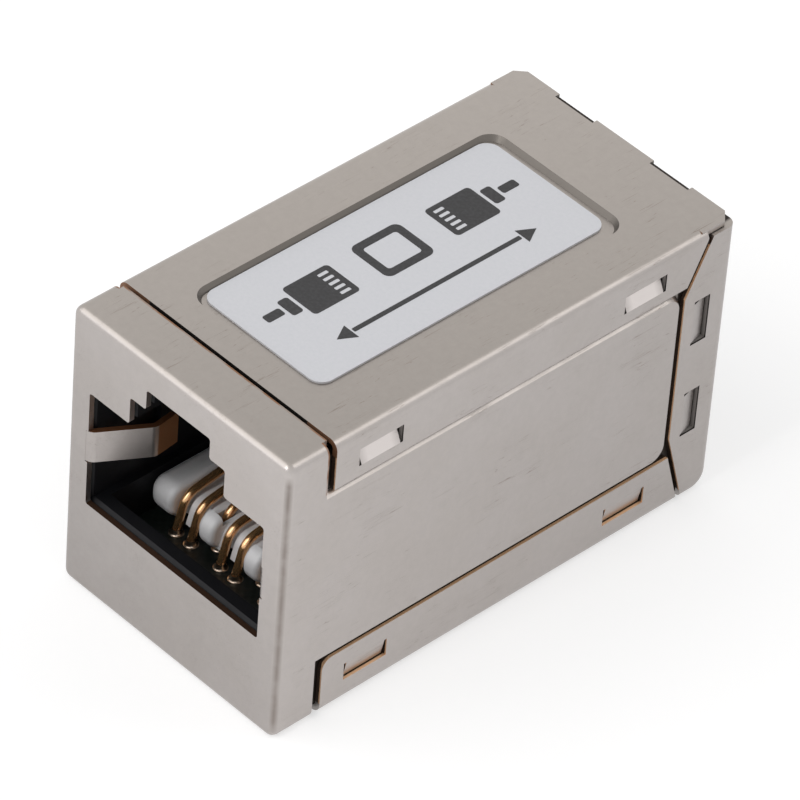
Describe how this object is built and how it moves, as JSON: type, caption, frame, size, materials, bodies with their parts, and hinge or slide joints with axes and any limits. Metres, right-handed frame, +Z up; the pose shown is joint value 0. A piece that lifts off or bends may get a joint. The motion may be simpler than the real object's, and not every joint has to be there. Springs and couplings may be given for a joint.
{
  "type": "rj45 inline coupler",
  "caption": "Rectangular stamped-metal coupler with a modular plug socket in each end face, joining network cables in line.",
  "frame": {"origin": "on the surface the coupler rests on, under its middle", "axes": "+Y from the front socket to the rear socket, +Z up, +X to the right seen from the front"},
  "size_m": [0.0144, 0.0278, 0.0164],
  "materials": {
    "shield": "nickel-plated sheet, satin, faintly scratched",
    "label": "matt white sticker",
    "housing": "moulded, black",
    "sled": "moulded, white",
    "contact": "gold-plated wire",
    "board": "glass-fibre laminate under black solder mask"
  },
  "bodies": {
    "root": {"front_shell": "shield", "rear_shell": "shield", "top_cover": "shield", "bottom_cover": "shield", "label": "label", "front_housing": "housing", "front_contact_sled": "sled", "front_contact_1": "contact", "front_contact_2": "contact", "front_contact_3": "contact", "front_contact_4": "contact", "front_contact_5": "contact", "front_contact_6": "contact", "front_contact_7": "contact", "front_contact_8": "contact", "rear_housing": "housing", "rear_contact_sled": "sled", "rear_contact_1": "contact", "rear_contact_2": "contact", "rear_contact_3": "contact", "rear_contact_4": "contact", "rear_contact_5": "contact", "rear_contact_6": "contact", "rear_contact_7": "contact", "rear_contact_8": "contact", "circuit_board": "board"}
  },
  "joints": []
}
